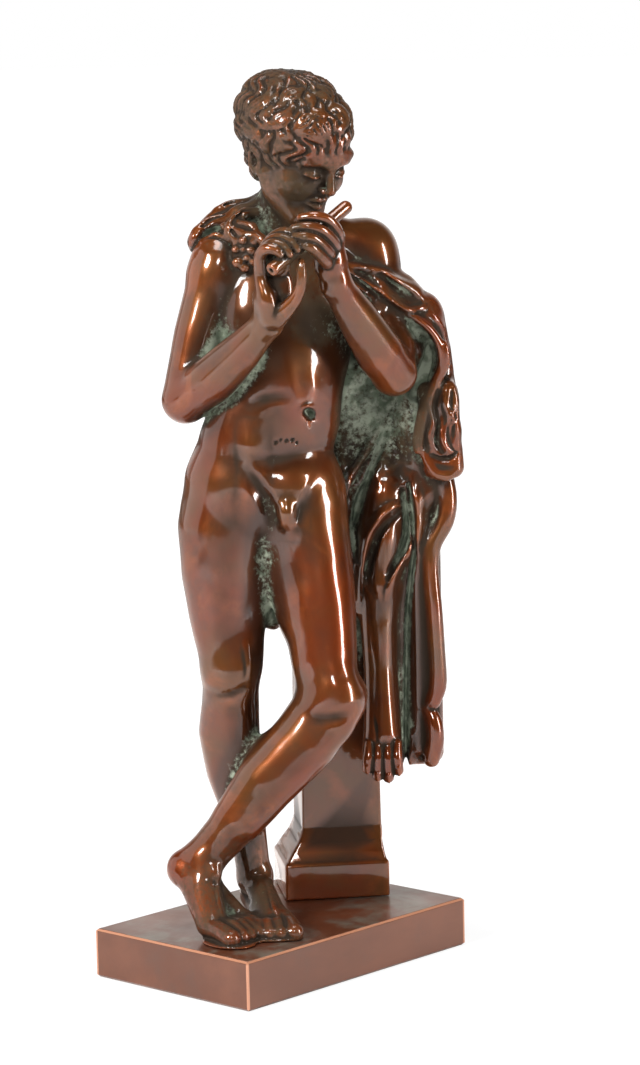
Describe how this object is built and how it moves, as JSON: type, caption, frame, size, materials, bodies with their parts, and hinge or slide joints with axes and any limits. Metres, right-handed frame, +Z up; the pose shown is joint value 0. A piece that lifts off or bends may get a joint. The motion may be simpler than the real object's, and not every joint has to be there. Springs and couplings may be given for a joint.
{
  "type": "bronze figure",
  "caption": "Small standing bronze of a youth with crossed legs playing a pipe, leaning by a square pillar hung with an animal skin, on an oblong plinth.",
  "frame": {"origin": "middle of the plinth's underside", "axes": "+Z up, +X along the plinth's long side; the figure faces between -Y and -X, turned 47 degrees from the plinth's long side"},
  "size_m": [0.1126, 0.079, 0.3002],
  "materials": {
    "plinth_bronze": "brown patina, satin, worn coppery at the edges",
    "figure_bronze": "glossy red-brown patina, dark and greenish in the hollows"
  },
  "bodies": {
    "root": {"plinth": "plinth_bronze", "figure": "figure_bronze"}
  },
  "joints": []
}
